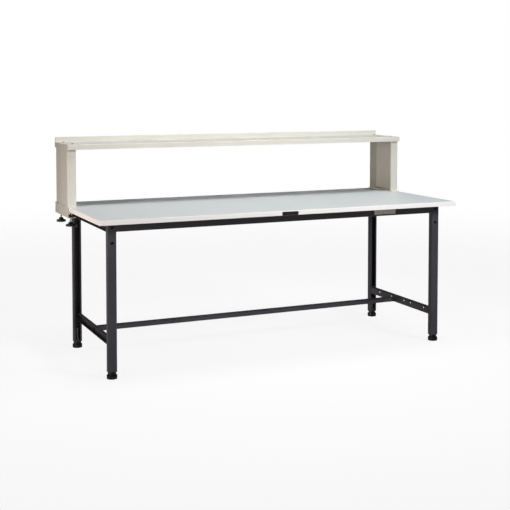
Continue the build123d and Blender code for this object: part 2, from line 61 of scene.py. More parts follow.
CLAMPS = [f"{x_name}_{y_name}" for x_name in X_SIDES for y_name in Y_SIDES]


# %% [markdown]
# ## Two helpers for node trees
# A given colour is an sRGB value, while a shader works with linear light, so one
# function turns the one into the other. A second function adds one node to a tree; a kind
# in capitals is the operation of a Math node.

# %% Colour and node helpers
MATH = "ShaderNodeMath"
VECTOR_MATH = "ShaderNodeVectorMath"
SRGB_KNEE = 0.04045
SRGB_SLOPE = 12.92
SRGB_OFFSET = 0.055
SRGB_POWER = 2.4


def linear(hex_colour):
    """An sRGB hex colour as linear red, green, blue and alpha."""
    channels = [int(hex_colour[i:i + 2], 16) / 255 for i in (1, 3, 5)]
    bright = [c / SRGB_SLOPE if c <= SRGB_KNEE else ((c + SRGB_OFFSET) / (1 + SRGB_OFFSET)) ** SRGB_POWER
              for c in channels]
    return (*bright, 1.0)


def add(tree, kind, values=None, links=None, **settings):
    """One node with its settings, its sockets' values, and the nodes or sockets linked to them."""
    if kind.isupper():
        kind, settings["operation"] = MATH, kind
    node = tree.nodes.new(kind)
    for name, value in settings.items():
        setattr(node, name, value)
    for socket, value in (values or {}).items():
        node.inputs[socket].default_value = value
    for socket, source in (links or {}).items():
        if isinstance(source, bpy.types.Node):
            source = next(output for output in source.outputs if output.enabled)
        tree.links.new(source, node.inputs[socket])
    return node


# %% [markdown]
# ## A finish to start from
# Each finish is the Principled shader with its typical index, roughness and colour. What
# differs is the pattern over it. Patterns lie on object coordinates in millimetres, so that
# each is sized by a length that can be measured on the real surface. One pattern may steer
# tone, gloss and relief together, because a low spot in a coat is darker, duller and deeper.

# %% Finish helpers
PLAIN_DETAIL = 1.0
USUAL_DETAIL = 2.0
RICH_DETAIL = 3.0
MIDDLE_SPREAD = (0.3, 0.7)


class Finish:
    """A material with one Principled shader, and its object coordinates in millimetres."""

    def __init__(self, name, colour, roughness, **values):
        self.material = bpy.data.materials.new(name)
        self.material.use_nodes = True
        self.tree = self.material.node_tree
        self.shader = self.tree.nodes["Principled BSDF"]
        self.shader.inputs["Base Color"].default_value = linear(colour)
        self.shader.inputs["Roughness"].default_value = roughness
        for socket, value in values.items():
            self.shader.inputs[socket.replace("_", " ")].default_value = value
        place = add(self.tree, "ShaderNodeTexCoord")
        self.where = add(self.tree, VECTOR_MATH, {1: (1 / MM, 1 / MM, 1 / MM)},
                         {0: place.outputs["Object"]}, operation="MULTIPLY")

    def grain(self, size_mm, detail=USUAL_DETAIL, stretch=(1, 1, 1)):
        """A pattern whose grains are about size_mm across, drawn out along an axis by stretch."""
        scale = tuple(1 / (size_mm * share) for share in stretch)
        spot = add(self.tree, VECTOR_MATH, {1: scale}, {0: self.where}, operation="MULTIPLY")
        return add(self.tree, "ShaderNodeTexNoise", {"Scale": 1.0, "Detail": detail}, {"Vector": spot})

    def steer(self, pattern, tones=None, gloss=None, relief_mm=0, spread=MIDDLE_SPREAD):
        """Lets a pattern set the tone, the roughness and the relief of the surface."""
        low, high = spread
        if tones:
            share = add(self.tree, "ShaderNodeMapRange", {1: low, 2: high}, {0: pattern})
            tone = add(self.tree, "ShaderNodeMix", {6: linear(tones[0]), 7: linear(tones[1])}, {0: share},
                       data_type="RGBA")
            self.tree.links.new(tone.outputs[2], self.shader.inputs["Base Color"])
        if gloss:
            dull = add(self.tree, "ShaderNodeMapRange", {1: low, 2: high, 3: gloss[0], 4: gloss[1]},
                       {0: pattern})
            self.tree.links.new(dull.outputs[0], self.shader.inputs["Roughness"])
        if relief_mm:
            relief = add(self.tree, "ShaderNodeBump", {"Strength": 1.0, "Distance": relief_mm * MM},
                         {"Height": pattern})
            self.tree.links.new(relief.outputs[0], self.shader.inputs["Normal"])


# %% [markdown]
# ## Melamine laminate
# The worktop is decor paper soaked in melamine resin and pressed on to chipboard against a
# finely etched steel sheet. That gives a cool light grey with a soft, even sheen. It shows
# a fine pearl from the press sheet, a barely visible cloud in the print, and hairline scuffs
# where boxes were pushed along the bench. The press pearl is some 0.4 mm on the real sheet
# and is drawn at 1.5 mm, so that a render can hold it.

# %% Laminate
LAMINATE_PEARL_MM = 1.5
LAMINATE_CLOUD_MM = 90.0
SCUFF_MM = 1.2
SCUFF_STRETCH = 60
SCUFF_SPREAD = (0.6, 0.72)


def melamine_laminate():
    finish = Finish("melamine_laminate_pressed", "#c0c5c6", 0.44, IOR=1.52)
    finish.steer(finish.grain(LAMINATE_CLOUD_MM, RICH_DETAIL), tones=("#bdc3c4", "#c3c7c8"))
    scuffs = finish.grain(SCUFF_MM, stretch=(SCUFF_STRETCH, 1, 1))
    finish.steer(scuffs, gloss=(0.42, 0.52), spread=SCUFF_SPREAD)
    finish.steer(finish.grain(LAMINATE_PEARL_MM), relief_mm=0.012)
    return finish.material


# %% [markdown]
# ## ABS edge band
# A 2 mm strip of extruded ABS is glued round the chipboard and trimmed with a scraper,
# which leaves a satin, warm white face with very fine marks along its length.

# %% Edge band
BAND_MARK_MM = 0.6
BAND_STRETCH = 50


def abs_edge_band(name, stretch):
    finish = Finish(name, "#f0efee", 0.42, IOR=1.53)
    marks = finish.grain(BAND_MARK_MM, stretch=stretch)
    finish.steer(marks, tones=("#edecea", "#f3f2f1"), gloss=(0.38, 0.48), relief_mm=0.01)
    return finish.material


# %% [markdown]
# ## Powder coat
# Frame and shelf are folded from sheet steel and powder coated. The baked powder never
# flows quite flat, and the orange peel that stays, with waves of 1 to 3 mm, is how the eye
# tells it from wet paint. The frame is charcoal with a faint violet tone, the shelf a warm
# ivory. A wide soft cloud shows where the coat is a little thicker.

# %% Powder coats
PEEL_MM = 2.2
COAT_CLOUD_MM = 160.0
COAT_SPREAD = (0.35, 0.7)
COAT_GLOSS = (-0.04, 0.05)


def powder_coat(name, colour, darker, roughness, peel_depth_mm):
    finish = Finish(name, colour, roughness, IOR=1.5)
    finish.steer(finish.grain(COAT_CLOUD_MM, RICH_DETAIL), tones=(colour, darker), spread=COAT_SPREAD)
    gloss = [roughness + change for change in COAT_GLOSS]
    finish.steer(finish.grain(PEEL_MM), gloss=gloss, relief_mm=peel_depth_mm)
    return finish.material


# %% [markdown]
# ## Plated and blackened steel
# Nuts, wood screws and threads are zinc plated: a cool bright grey with faint blotches from
# the bath. The button-head screws and bolts are blackened. A metal keeps the shader's own
# index, and its colour is the colour of its reflections.

# %% Steel
BLOTCH_MM = 3.0
STEEL_GLOSS = (-0.06, 0.08)


def treated_steel(name, colour, paler, roughness):
    finish = Finish(name, colour, roughness, Metallic=1.0)
    gloss = [roughness + change for change in STEEL_GLOSS]
    finish.steer(finish.grain(BLOTCH_MM, RICH_DETAIL), tones=(colour, paler), gloss=gloss, relief_mm=0.02)
    return finish.material


# %% [markdown]
# ## Moulded polyamide
# Feet, knobs and pads are moulded from black polyamide against a spark-eroded tool. That
# leaves an even fine grain, and slow patches where the melt ran smoother. The real grain of
# some 0.1 mm is drawn at 0.7 mm.

# %% Polyamide
ERODED_GRAIN_MM = 0.7
MELT_PATCH_MM = 12.0


def moulded_polyamide():
    finish = Finish("polyamide_moulded_black", "#0f0f11", 0.42, IOR=1.53)
    finish.steer(finish.grain(MELT_PATCH_MM), tones=("#0c0c0e", "#131316"), gloss=(0.36, 0.5))
    finish.steer(finish.grain(ERODED_GRAIN_MM, PLAIN_DETAIL), relief_mm=0.03)
    return finish.material


# %% [markdown]
# ## Chipboard and backing paper
# Chipboard shows only at its screw holes, as pressed flakes 2 to 6 mm long. The paper glued
# under the worktop is a plain warm grey with long fibres.

# %% Chipboard and paper
FLAKE_MM = 4.0
PAPER_FIBRE_MM = 1.5
FIBRE_STRETCH = 6


def pressed_chipboard():
    finish = Finish("chipboard_pressed", "#b99a6c", 0.8)
    flakes = add(finish.tree, "ShaderNodeTexVoronoi", {"Scale": 1 / FLAKE_MM}, {"Vector": finish.where})
    finish.steer(flakes, tones=("#a98a5e", "#cbb083"), relief_mm=0.1)
    return finish.material


def backing_paper():
    finish = Finish("backing_paper_glued", "#a09c93", 0.62)
    fibres = finish.grain(PAPER_FIBRE_MM, RICH_DETAIL, (FIBRE_STRETCH, 1, 1))
    finish.steer(fibres, tones=("#97938a", "#a9a59c"), relief_mm=0.02)
    return finish.material


# %% [markdown]
# ## Anodised plate and vinyl film
# The plate on the front edge is brushed aluminium, anodised to a dark warm brown. Its brush
# lines are drawn at 0.4 mm, some five times their real width. The label on the apron is a
# white vinyl film that has taken a slight wave from the coat below. Both are left bare.

# %% Plate and label
BRUSH_MM = 0.4
BRUSH_STRETCH = 40
FILM_WAVE_MM = 12.0


def anodised_plate():
    finish = Finish("aluminium_anodised_dark", "#3a3331", 0.38, Metallic=0.7)
    brushed = finish.grain(BRUSH_MM, PLAIN_DETAIL, (BRUSH_STRETCH, 1, 1))
    finish.steer(brushed, tones=("#352f2d", "#443b38"), gloss=(0.32, 0.46), relief_mm=0.005)
    return finish.material


def vinyl_film():
    finish = Finish("vinyl_film_white", "#d4d1cf", 0.4)
    finish.steer(finish.grain(FILM_WAVE_MM, PLAIN_DETAIL), tones=("#cfccca", "#d9d6d4"), relief_mm=0.03)
    return finish.material


# %% [markdown]
# ## Finishes by slot
# The bench's record names a material slot for each piece. One table takes each slot to its
# finish. The side bands need marks that run along Y, so they get a finish of their own.

# %% Give every piece its finish
charcoal = powder_coat("powder_coat_charcoal", "#403f46", "#38373e", 0.4, 0.035)
ivory = powder_coat("powder_coat_ivory", "#c8c7c0", "#c3c2ba", 0.38, 0.03)
zinc = treated_steel("steel_zinc_plated", "#b9bbbd", "#d3d4d2", 0.34)
black_steel = treated_steel("steel_blackened", "#1b1b1d", "#29292b", 0.42)
polyamide = moulded_polyamide()
label_film = vinyl_film()
dark_plate = anodised_plate()
finishes = {
    "chipboard": pressed_chipboard(),
    "grey_laminate": melamine_laminate(),
    "backer_sheet": backing_paper(),
    "ivory_edging": abs_edge_band("abs_edge_band_long", (BAND_STRETCH, 1, 1)),
    "dark_plate": dark_plate,
    "white_label": label_film,
    "charcoal_powder_coat": charcoal,
    "ivory_powder_coat": ivory,
    "zinc_steel": zinc,
    "black_steel": black_steel,
    "black_plastic": polyamide,
}
slot_of = {part["node"]: part["material_slot"] for part in frame["record"]["subparts"]}


def paint(obj, material):
    """One material for the whole of a piece."""
    obj.data.materials.clear()
    obj.data.materials.append(material)


for node_name, obj in frame["nodes"].items():
    paint(obj, finishes[slot_of[node_name]])
side_band = abs_edge_band("abs_edge_band_side", (1, BAND_STRETCH, 1))
for node_name in ("edge_band_left", "edge_band_right"):
    paint(frame["nodes"][node_name], side_band)
print("finishes", len(finishes) + 1)

# %% [markdown]
# ## From a geometry tree to a plain piece
# Geometry Nodes suit what follows a rule: a lathe, a thread, a weld bead, a screw set at
# many places. A modifier on a holder runs the tree once, its result is taken as a plain
# mesh, and the holder goes. A finished piece then gets outward faces, creases where two
# faces meet steeply, the body it rides on, and the nodes that it stands for.

# %% Tree and piece helpers
CREASE_DEG = 32
MERGE_MM = 0.005


def new_tree(name, inputs):
    """A geometry tree with named inputs: the tree, what it is given, and its output node."""
    tree = bpy.data.node_groups.new(name, "GeometryNodeTree")
    tree.interface.new_socket("Geometry", in_out="INPUT", socket_type="NodeSocketGeometry")
    for label, kind in inputs.items():
        tree.interface.new_socket(label, in_out="INPUT", socket_type="NodeSocket" + kind)
    tree.interface.new_socket("Geometry", in_out="OUTPUT", socket_type="NodeSocketGeometry")
    return tree, add(tree, "NodeGroupInput").outputs, add(tree, "NodeGroupOutput")


def linked(name, data):
    """A new object in the scene with its data."""
    obj = bpy.data.objects.new(name, data)
    bpy.context.scene.collection.objects.link(obj)
    return obj


def close_tree(tree, given, made, last):
    """Ends a tree in real geometry with its material."""
    real = add(tree, "GeometryNodeRealizeInstances", None, {"Geometry": last})
    painted = add(tree, "GeometryNodeSetMaterial", None, {"Geometry": real, "Material": given["Material"]})
    tree.links.new(painted.outputs[0], made.inputs[0])


def grown(tree, seed_mesh, values):
    """The plain mesh that a tree makes from a mesh, with its named inputs set."""
    holder = linked(tree.name, seed_mesh)
    modifier = holder.modifiers.new(tree.name, "NODES")
    modifier.node_group = tree
    for item in tree.interface.items_tree:
        if item.in_out == "INPUT" and item.name in values:
            modifier[item.identifier] = values[item.name]
    graph = bpy.context.evaluated_depsgraph_get()
    result = bpy.data.meshes.new_from_object(holder.evaluated_get(graph))
    holder.modifiers.clear()
    bpy.data.objects.remove(holder)
    return result


def joined(meshes):
    """Several meshes as one, with its material from the first."""
    shape = bmesh.new()
    for mesh in meshes:
        shape.from_mesh(mesh)
    whole = meshes[0].copy()
    shape.to_mesh(whole)
    shape.free()
    return whole


def finished(name, mesh, body, slot, *nodes):
    """A piece of its own: outward faces and creases, riding on a body, in place of CAD nodes."""
    shape = bmesh.new()
    shape.from_mesh(mesh)
    bmesh.ops.remove_doubles(shape, verts=shape.verts, dist=MERGE_MM * MM)
    bmesh.ops.dissolve_degenerate(shape, edges=shape.edges, dist=MERGE_MM * MM)
    bmesh.ops.recalc_face_normals(shape, faces=shape.faces)
    for edge in shape.edges:
        edge.smooth = edge.is_manifold and edge.calc_face_angle() < math.radians(CREASE_DEG)
    for face in shape.faces:
        face.smooth = True
    loose = sum(not edge.is_manifold for edge in shape.edges)
    shape.to_mesh(mesh)
    shape.free()
    obj = linked(name, mesh)
    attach(obj, body)
    if nodes:
        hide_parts(*nodes)
    print(name, "faces", len(mesh.polygons), "open edges", loose)


def bend(tree, given, made, grid, angle, radius, height):
    """Ends a tree with a grid bent round the Z axis, closed along its seam and at its ends."""
    across = add(tree, "COSINE", None, {0: angle})
    along = add(tree, "SINE", None, {0: angle})
    x = add(tree, "MULTIPLY", None, {0: radius, 1: across})
    y = add(tree, "MULTIPLY", None, {0: radius, 1: along})
    place = add(tree, "ShaderNodeCombineXYZ", None, {0: x, 1: y, 2: height})
    bent = add(tree, "GeometryNodeSetPosition", None, {"Geometry": grid, "Position": place})
    merged = add(tree, "GeometryNodeMergeByDistance", {"Distance": MERGE_MM * MM}, {"Geometry": bent})
    close_tree(tree, given, made, merged)


def span(node):
    """Lowest corner, highest corner and middle of a CAD node."""
    low, high = (Vector(corner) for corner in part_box(node))
    return low, high, (low + high) / 2


# %% [markdown]
# ## A lathe in Geometry Nodes
# Feet, pads, knobs, nuts and screw heads all come from one outline run round an axis. The
# tree lays a flat grid with one row for each point of the outline, looks up that point's
# radius and height, and bends each row into a ring. Points may be marked as shaped: there
# the ring becomes a polygon, for a nut or a hexagon socket, or gets flutes, for a star knob.

# %% The lathe
SHARPER_FLUTES = 2


def lathe_tree():
    tree, given, made = new_tree("turned_on_a_lathe", {
        "Sides": "Int", "Count": "Int", "Polygon": "Float", "Flute Depth": "Float", "Material": "Material"})
    outline = given["Geometry"]
    points = add(tree, "GeometryNodeAttributeDomainSize", None, {0: outline})
    columns = add(tree, "ADD", {1: 1}, {0: given["Sides"]})
    grid = add(tree, "GeometryNodeMeshGrid", {0: 1, 1: 1}, {2: columns, 3: points})
    spot = add(tree, "GeometryNodeInputPosition")
    flat = add(tree, "ShaderNodeSeparateXYZ", None, {0: spot})
    angle = add(tree, "MULTIPLY_ADD", {1: math.tau, 2: math.pi}, {0: flat.outputs[0]})
    last_row = add(tree, "SUBTRACT", {1: 1}, {0: points})
    row_share = add(tree, "ADD", {1: 0.5}, {0: flat.outputs[1]})
    row = add(tree, "MULTIPLY_ADD", {2: 0.5}, {0: row_share, 1: last_row})
    point = add(tree, "GeometryNodeSampleIndex", None, {"Geometry": outline, "Value": spot, "Index": row},
                data_type="FLOAT_VECTOR")
    mark = add(tree, "GeometryNodeInputNamedAttribute", {"Name": "shaped"})
    shaped = add(tree, "GeometryNodeSampleIndex", None, {"Geometry": outline, "Value": mark, "Index": row})
    radius_height = add(tree, "ShaderNodeSeparateXYZ", None, {0: point})

    wedge = add(tree, "DIVIDE", {0: math.tau}, {1: given["Count"]})
    half_wedge = add(tree, "DIVIDE", {1: 2}, {0: wedge})
    in_wedge = add(tree, "FLOORED_MODULO", None, {0: angle, 1: wedge})
    off_flat = add(tree, "SUBTRACT", None, {0: in_wedge, 1: half_wedge})
    cosine = add(tree, "COSINE", None, {0: off_flat})
    to_corner = add(tree, "DIVIDE", {0: 1}, {1: cosine})
    excess = add(tree, "SUBTRACT", {1: 1}, {0: to_corner})
    cornered = add(tree, "MULTIPLY", None, {0: shaped, 1: given["Polygon"]})
    growth = add(tree, "MULTIPLY_ADD", {2: 1}, {0: excess, 1: cornered})

    turns = add(tree, "MULTIPLY", None, {0: angle, 1: given["Count"]})
    wave = add(tree, "COSINE", None, {0: turns})
    lifted = add(tree, "MULTIPLY_ADD", {1: 0.5, 2: 0.5}, {0: wave})
    flute = add(tree, "POWER", {1: SHARPER_FLUTES}, {0: lifted})
    flute_here = add(tree, "MULTIPLY", None, {0: flute, 1: shaped})
    bite = add(tree, "MULTIPLY", None, {0: flute_here, 1: given["Flute Depth"]})

    grown_radius = add(tree, "MULTIPLY", None, {0: radius_height.outputs[0], 1: growth})
    radius = add(tree, "SUBTRACT", None, {0: grown_radius, 1: bite})
    bend(tree, given, made, grid, angle, radius, radius_height.outputs[2])
    return tree


lathe = lathe_tree()


def turned(outline, material, sides=48, count=6, polygon=1.0, flute=0.0):
    """A solid turned from points of radius, height and, where it is shaped, a third value up to 1."""
    mesh = bpy.data.meshes.new("outline")
    mesh.from_pydata([(point[0], 0, point[1]) for point in outline], [], [])
    shaped = mesh.attributes.new("shaped", "FLOAT", "POINT")
    for item, point in zip(shaped.data, outline):
        item.value = point[2] if len(point) > 2 else 0.0
    return grown(lathe, mesh, {"Sides": sides, "Count": count, "Polygon": polygon, "Flute Depth": flute,
                               "Material": material})


print("lathe nodes", len(lathe.nodes))


# %% [markdown]
# ## A rolled thread in Geometry Nodes
# A thread is a ridge that climbs one pitch each turn. On a grid bent into a bar that is the
# height in pitches less the angle in turns: its fraction says where between two ridges a
# point lies. Crest and root are flat, and both ends are chamfered.

# %% The thread
THREAD_DEPTH_SHARE = 0.61
FLANK_GAIN = 1.7
FLANK_SHIFT = -0.35


def thread_tree():
    tree, given, made = new_tree("rolled_thread", {
        "Diameter": "Float", "Pitch": "Float", "Length": "Float", "Sides": "Int", "Rows": "Int",
        "Material": "Material"})
    columns = add(tree, "ADD", {1: 1}, {0: given["Sides"]})
    turns = add(tree, "DIVIDE", None, {0: given["Length"], 1: given["Pitch"]})
    rows = add(tree, "MULTIPLY_ADD", {2: 1}, {0: turns, 1: given["Rows"]})
    grid = add(tree, "GeometryNodeMeshGrid", {0: 1, 1: 1}, {2: columns, 3: rows})
    spot = add(tree, "GeometryNodeInputPosition")
    flat = add(tree, "ShaderNodeSeparateXYZ", None, {0: spot})
    round_share = add(tree, "ADD", {1: 0.5}, {0: flat.outputs[0]})
    angle = add(tree, "MULTIPLY", {1: math.tau}, {0: round_share})
    height_share = add(tree, "ADD", {1: 0.5}, {0: flat.outputs[1]})
    height = add(tree, "MULTIPLY", None, {0: height_share, 1: given["Length"]})

    climbed = add(tree, "DIVIDE", None, {0: height, 1: given["Pitch"]})
    behind = add(tree, "SUBTRACT", None, {0: climbed, 1: round_share})
    phase = add(tree, "FRACT", None, {0: behind})
    centred = add(tree, "MULTIPLY_ADD", {1: 2, 2: -1}, {0: phase})
    slope = add(tree, "ABSOLUTE", None, {0: centred})
    ridge = add(tree, "MULTIPLY_ADD", {1: FLANK_GAIN, 2: FLANK_SHIFT}, {0: slope}, use_clamp=True)

    outer = add(tree, "MULTIPLY", {1: 0.5}, {0: given["Diameter"]})
    depth = add(tree, "MULTIPLY", {1: THREAD_DEPTH_SHARE}, {0: given["Pitch"]})
    root = add(tree, "SUBTRACT", None, {0: outer, 1: depth})
    threaded = add(tree, "MULTIPLY_ADD", None, {0: ridge, 1: depth, 2: root})
    from_top = add(tree, "SUBTRACT", None, {0: given["Length"], 1: height})
    to_end = add(tree, "MINIMUM", None, {0: height, 1: from_top})
    chamfer = add(tree, "ADD", None, {0: root, 1: to_end})
    eased = add(tree, "MINIMUM", None, {0: threaded, 1: chamfer})
    inside = add(tree, "GREATER_THAN", {1: MERGE_MM * MM}, {0: to_end})
    radius = add(tree, "MULTIPLY", None, {0: eased, 1: inside})
    bend(tree, given, made, grid, angle, radius, height)
    return tree


thread = thread_tree()


def threaded_bar(node, pitch, material):
    """A threaded bar as long and as thick as a CAD node, and in its place."""
    low, high, middle = span(node)
    bar = grown(thread, bpy.data.meshes.new("bar"), {
        "Diameter": high.x - low.x, "Pitch": pitch, "Length": high.z - low.z, "Sides": 20, "Rows": 6,
        "Material": material})
    bar.transform(Matrix.Translation((middle.x, middle.y, low.z)))
    return bar


print("thread nodes", len(thread.nodes))


# %% [markdown]
# ## Setting one piece at many places
# Nuts and screw heads repeat. A point for each place carries the way that the piece looks,
# an instance is turned to it, and a random turn about its own axis makes the sockets point
# every way, as they do after a spanner. The seed is fixed.

# %% The setter
SETTER_SEED = 7


def setter_tree():
    tree, given, made = new_tree("set_at_places", {
        "Piece": "Object", "Seed": "Int", "Material": "Material"})
    source = add(tree, "GeometryNodeObjectInfo", None, {"Object": given["Piece"]})
    way = add(tree, "GeometryNodeInputNamedAttribute", {"Name": "way"}, data_type="FLOAT_VECTOR")
    facing = add(tree, "FunctionNodeAlignRotationToVector", None, {"Vector": way}, axis="Z")
    angle = add(tree, "FunctionNodeRandomValue", {3: math.tau}, {"Seed": given["Seed"]}, data_type="FLOAT")
    spin = add(tree, "FunctionNodeAxisAngleToRotation", {"Axis": (0, 0, 1)}, {"Angle": angle})
    turn = add(tree, "FunctionNodeRotateRotation", None, {"Rotation": facing, "Rotate By": spin},
               rotation_space="LOCAL")
    put = add(tree, "GeometryNodeInstanceOnPoints", None, {
        "Points": given["Geometry"], "Instance": source.outputs["Geometry"], "Rotation": turn})
    close_tree(tree, given, made, put)
    return tree


setter = setter_tree()


def set_at(places, template, material):
    """One mesh with a copy of a template at each place, turned to its way."""
    points = bpy.data.meshes.new("places")
    points.from_pydata([spot for spot, way in places], [], [])
    ways = points.attributes.new("way", "FLOAT_VECTOR", "POINT")
    for item, (spot, way) in zip(ways.data, places):
        item.vector = way
    pattern = linked("pattern", template)
    copies = grown(setter, points, {"Piece": pattern, "Seed": SETTER_SEED, "Material": material})
    bpy.data.objects.remove(pattern)
    return copies


print("setter nodes", len(setter.nodes))


# %% [markdown]
# ## Levelling feet
# Each leg stands on a moulded foot: a wide base with a soft sole below, a waist, and a
# collar that hides the lower end of the threaded stem. The sole's parting line, the fillet
# at the waist and the rounded collar are what moulding adds to a plain disc.

# %% Feet and stems
FOOT_ROUND = 1.2 * MM
SOLE = 3.2 * MM
SOLE_GROOVE = 0.8 * MM
GROOVE_DEPTH = 0.7 * MM
BASE_HEIGHT = 18 * MM
BASE_ROUND = 2.7 * MM
COLLAR_REACH = 18 * MM
COLLAR_ROUND = 1.2 * MM
STEM_HOLE = 5.05 * MM
STEM_FLOOR = 8 * MM
FOOT_PITCH = 1.5 * MM


def foot_outline(reach, top):
    """Radius and height of a foot from its sole to the bore for its stem."""
    return [
        (0, 0), (reach - 2 * FOOT_ROUND, 0), (reach - FOOT_ROUND / 2, FOOT_ROUND / 2),
        (reach, 1.5 * FOOT_ROUND), (reach, SOLE), (reach - GROOVE_DEPTH, SOLE + SOLE_GROOVE / 4),
        (reach - GROOVE_DEPTH, SOLE + SOLE_GROOVE * 3 / 4), (reach, SOLE + SOLE_GROOVE),
        (reach, BASE_HEIGHT - BASE_ROUND), (reach - BASE_ROUND / 4, BASE_HEIGHT - BASE_ROUND / 3),
        (reach - BASE_ROUND, BASE_HEIGHT), (COLLAR_REACH + COLLAR_ROUND, BASE_HEIGHT),
        (COLLAR_REACH + COLLAR_ROUND / 4, BASE_HEIGHT + COLLAR_ROUND / 4),
        (COLLAR_REACH, BASE_HEIGHT + COLLAR_ROUND), (COLLAR_REACH, top - COLLAR_ROUND),
        (COLLAR_REACH - COLLAR_ROUND / 4, top - COLLAR_ROUND / 4), (COLLAR_REACH - COLLAR_ROUND, top),
        (STEM_HOLE, top), (STEM_HOLE, STEM_FLOOR), (0, STEM_FLOOR)]


for corner in CORNERS:
    low, high, middle = span(f"foot_pad_{corner}")
    foot = turned(foot_outline((high.x - low.x) / 2, high.z), polyamide, sides=64)
    foot.transform(Matrix.Translation((middle.x, middle.y, 0)))
    finished(f"turned_foot_{corner}", foot, f"foot_{corner}", "black_plastic", f"foot_pad_{corner}")
    finished(f"rolled_stem_{corner}", threaded_bar(f"foot_stem_{corner}", FOOT_PITCH, zinc),
             f"foot_screw_{corner}", "zinc_steel", f"foot_stem_{corner}")


# %% [markdown]
# ## Clamp screws with star knobs
# Four screws in the stand's brackets press on the underside of the worktop. Each has a
# round pad above and a star knob below. The knob is an upturned mushroom: a thin boss at
# the top, a flare, and a thick lobed rim at the bottom for the fingers. Its lobes are
# flutes cut by a cosine, deepest on the rim and gone on the boss.

# %% Knobs, pads and screws
CLAMP_PITCH = 1.25 * MM
KNOB_LOBES = 8
KNOB_FLUTE = 2.6 * MM
KNOB_ROUND = 2.4 * MM
KNOB_RIM = 10 * MM
KNOB_DISH = 0.6 * MM
KNOB_FLARE = 15 * MM
KNOB_STEPS = ((5 * MM, 1.6 * MM, 0.5), (2 * MM, 3.2 * MM, 0.2))
BOSS_REACH = 10 * MM
BOSS_FILLET = 1 * MM
BOSS_ROUND = 0.8 * MM
SCREW_HOLE = 4.05 * MM
SCREW_FLOOR = 9 * MM
PAD_ROUND = 1 * MM
PAD_SOCKET = 4 * MM


def knob_outline(reach, height):
    """Radius, height and flute share of a knob from its lower face to the bore for its screw."""
    shoulder = [(BOSS_REACH + out, KNOB_RIM + up, flute_share) for out, up, flute_share in KNOB_STEPS]
    return [
        (0, KNOB_DISH), (reach / 2, KNOB_DISH / 2, 0.1), (reach - KNOB_ROUND, 0, 0.8),
        (reach - KNOB_ROUND / 4, KNOB_ROUND / 4, 1), (reach, KNOB_ROUND, 1),
        (reach, KNOB_RIM - KNOB_ROUND, 1), (reach - KNOB_ROUND / 4, KNOB_RIM - KNOB_ROUND / 4, 1),
        (reach - KNOB_ROUND, KNOB_RIM, 0.9), *shoulder, (BOSS_REACH + BOSS_FILLET / 2, KNOB_FLARE, 0),
        (BOSS_REACH, KNOB_FLARE + BOSS_FILLET), (BOSS_REACH, height - BOSS_ROUND),
        (BOSS_REACH - BOSS_ROUND, height), (SCREW_HOLE, height), (SCREW_HOLE, SCREW_FLOOR),
        (0, SCREW_FLOOR)]


def pad_outline(reach, height):
    """Radius and height of a pad from the socket for its screw to its face."""
    return [
        (0, PAD_SOCKET), (SCREW_HOLE, PAD_SOCKET), (SCREW_HOLE, 0), (reach - PAD_ROUND / 2, 0),
        (reach, PAD_ROUND / 2), (reach, height - PAD_ROUND),
        (reach - PAD_ROUND / 4, height - PAD_ROUND / 4), (reach - PAD_ROUND, height), (0, height)]


for clamp in CLAMPS:
    low, high, middle = span(f"clamp_knob_{clamp}")
    knob = turned(knob_outline((high.y - low.y) / 2, high.z - low.z), polyamide,
                  sides=96, count=KNOB_LOBES, polygon=0.0, flute=KNOB_FLUTE)
    knob.transform(Matrix.Translation((middle.x, middle.y, low.z)))
    finished(f"star_knob_{clamp}", knob, f"clamp_screw_{clamp}", "black_plastic", f"clamp_knob_{clamp}")
    finished(f"rolled_screw_{clamp}", threaded_bar(f"clamp_screw_{clamp}", CLAMP_PITCH, zinc),
             f"clamp_screw_{clamp}", "zinc_steel", f"clamp_screw_{clamp}")
    low, high, middle = span(f"clamp_pad_{clamp}")
    pad = turned(pad_outline((high.x - low.x) / 2, high.z - low.z), polyamide)
    pad.transform(Matrix.Translation((middle.x, middle.y, low.z)))
    finished(f"turned_pad_{clamp}", pad, f"clamp_{clamp}", "black_plastic", f"clamp_pad_{clamp}")


# %% [markdown]
# ## Bolts through the legs and the stretcher
# Each leg has two button-head bolts whose round dark heads are the only fasteners that the
# front shows. A hexagon bolt holds each end of the stretcher. Both outlines have the shank
# below the seat and the head above it. The button's dome ends in a hexagon socket, and a
# turned chamfer makes the hexagon's corners fade.

# %% Frame bolts and nuts
SHEET = 2 * MM
BRACKET = 3 * MM
M8_REACH = 4 * MM
BUTTON_REACH = 6.5 * MM
BUTTON_HEIGHT = 4 * MM
SOCKET_REACH = 2.5 * MM
SOCKET_DEPTH = 2.4 * MM
M8_HEX_REACH = 6.5 * MM
M8_NUT_HEIGHT = 6.5 * MM
LEG_BOLT_PITCH = 67 * MM
LEG_SHANK = 11.5 * MM
HEX_HEAD_HEIGHT = 4 * MM
HEX_CHAMFER = 0.5 * MM
CHAMFER_HEX_SHARE = 0.2
DOME_DEGS = (0, 18, 36, 52, 64)
DOME_POWER = 0.6
LIP_SHARE = 1.25
LIP_DROP = 0.2 * MM
HOLE_EASE = 0.05 * MM


def button_head(reach, height, key_reach, key_depth, shank_reach, shank):
    """Outline of a button-head screw: shank, seat, dome and hexagon socket."""
    dome = [(reach * math.cos(math.radians(turn)) ** DOME_POWER, height * math.sin(math.radians(turn)))
            for turn in DOME_DEGS]
    return [(0, -shank), (shank_reach, -shank), (shank_reach, 0), *dome, (key_reach * LIP_SHARE, height),
            (key_reach, height - LIP_DROP, 1), (key_reach, height - key_depth, 1), (0, height - key_depth)]


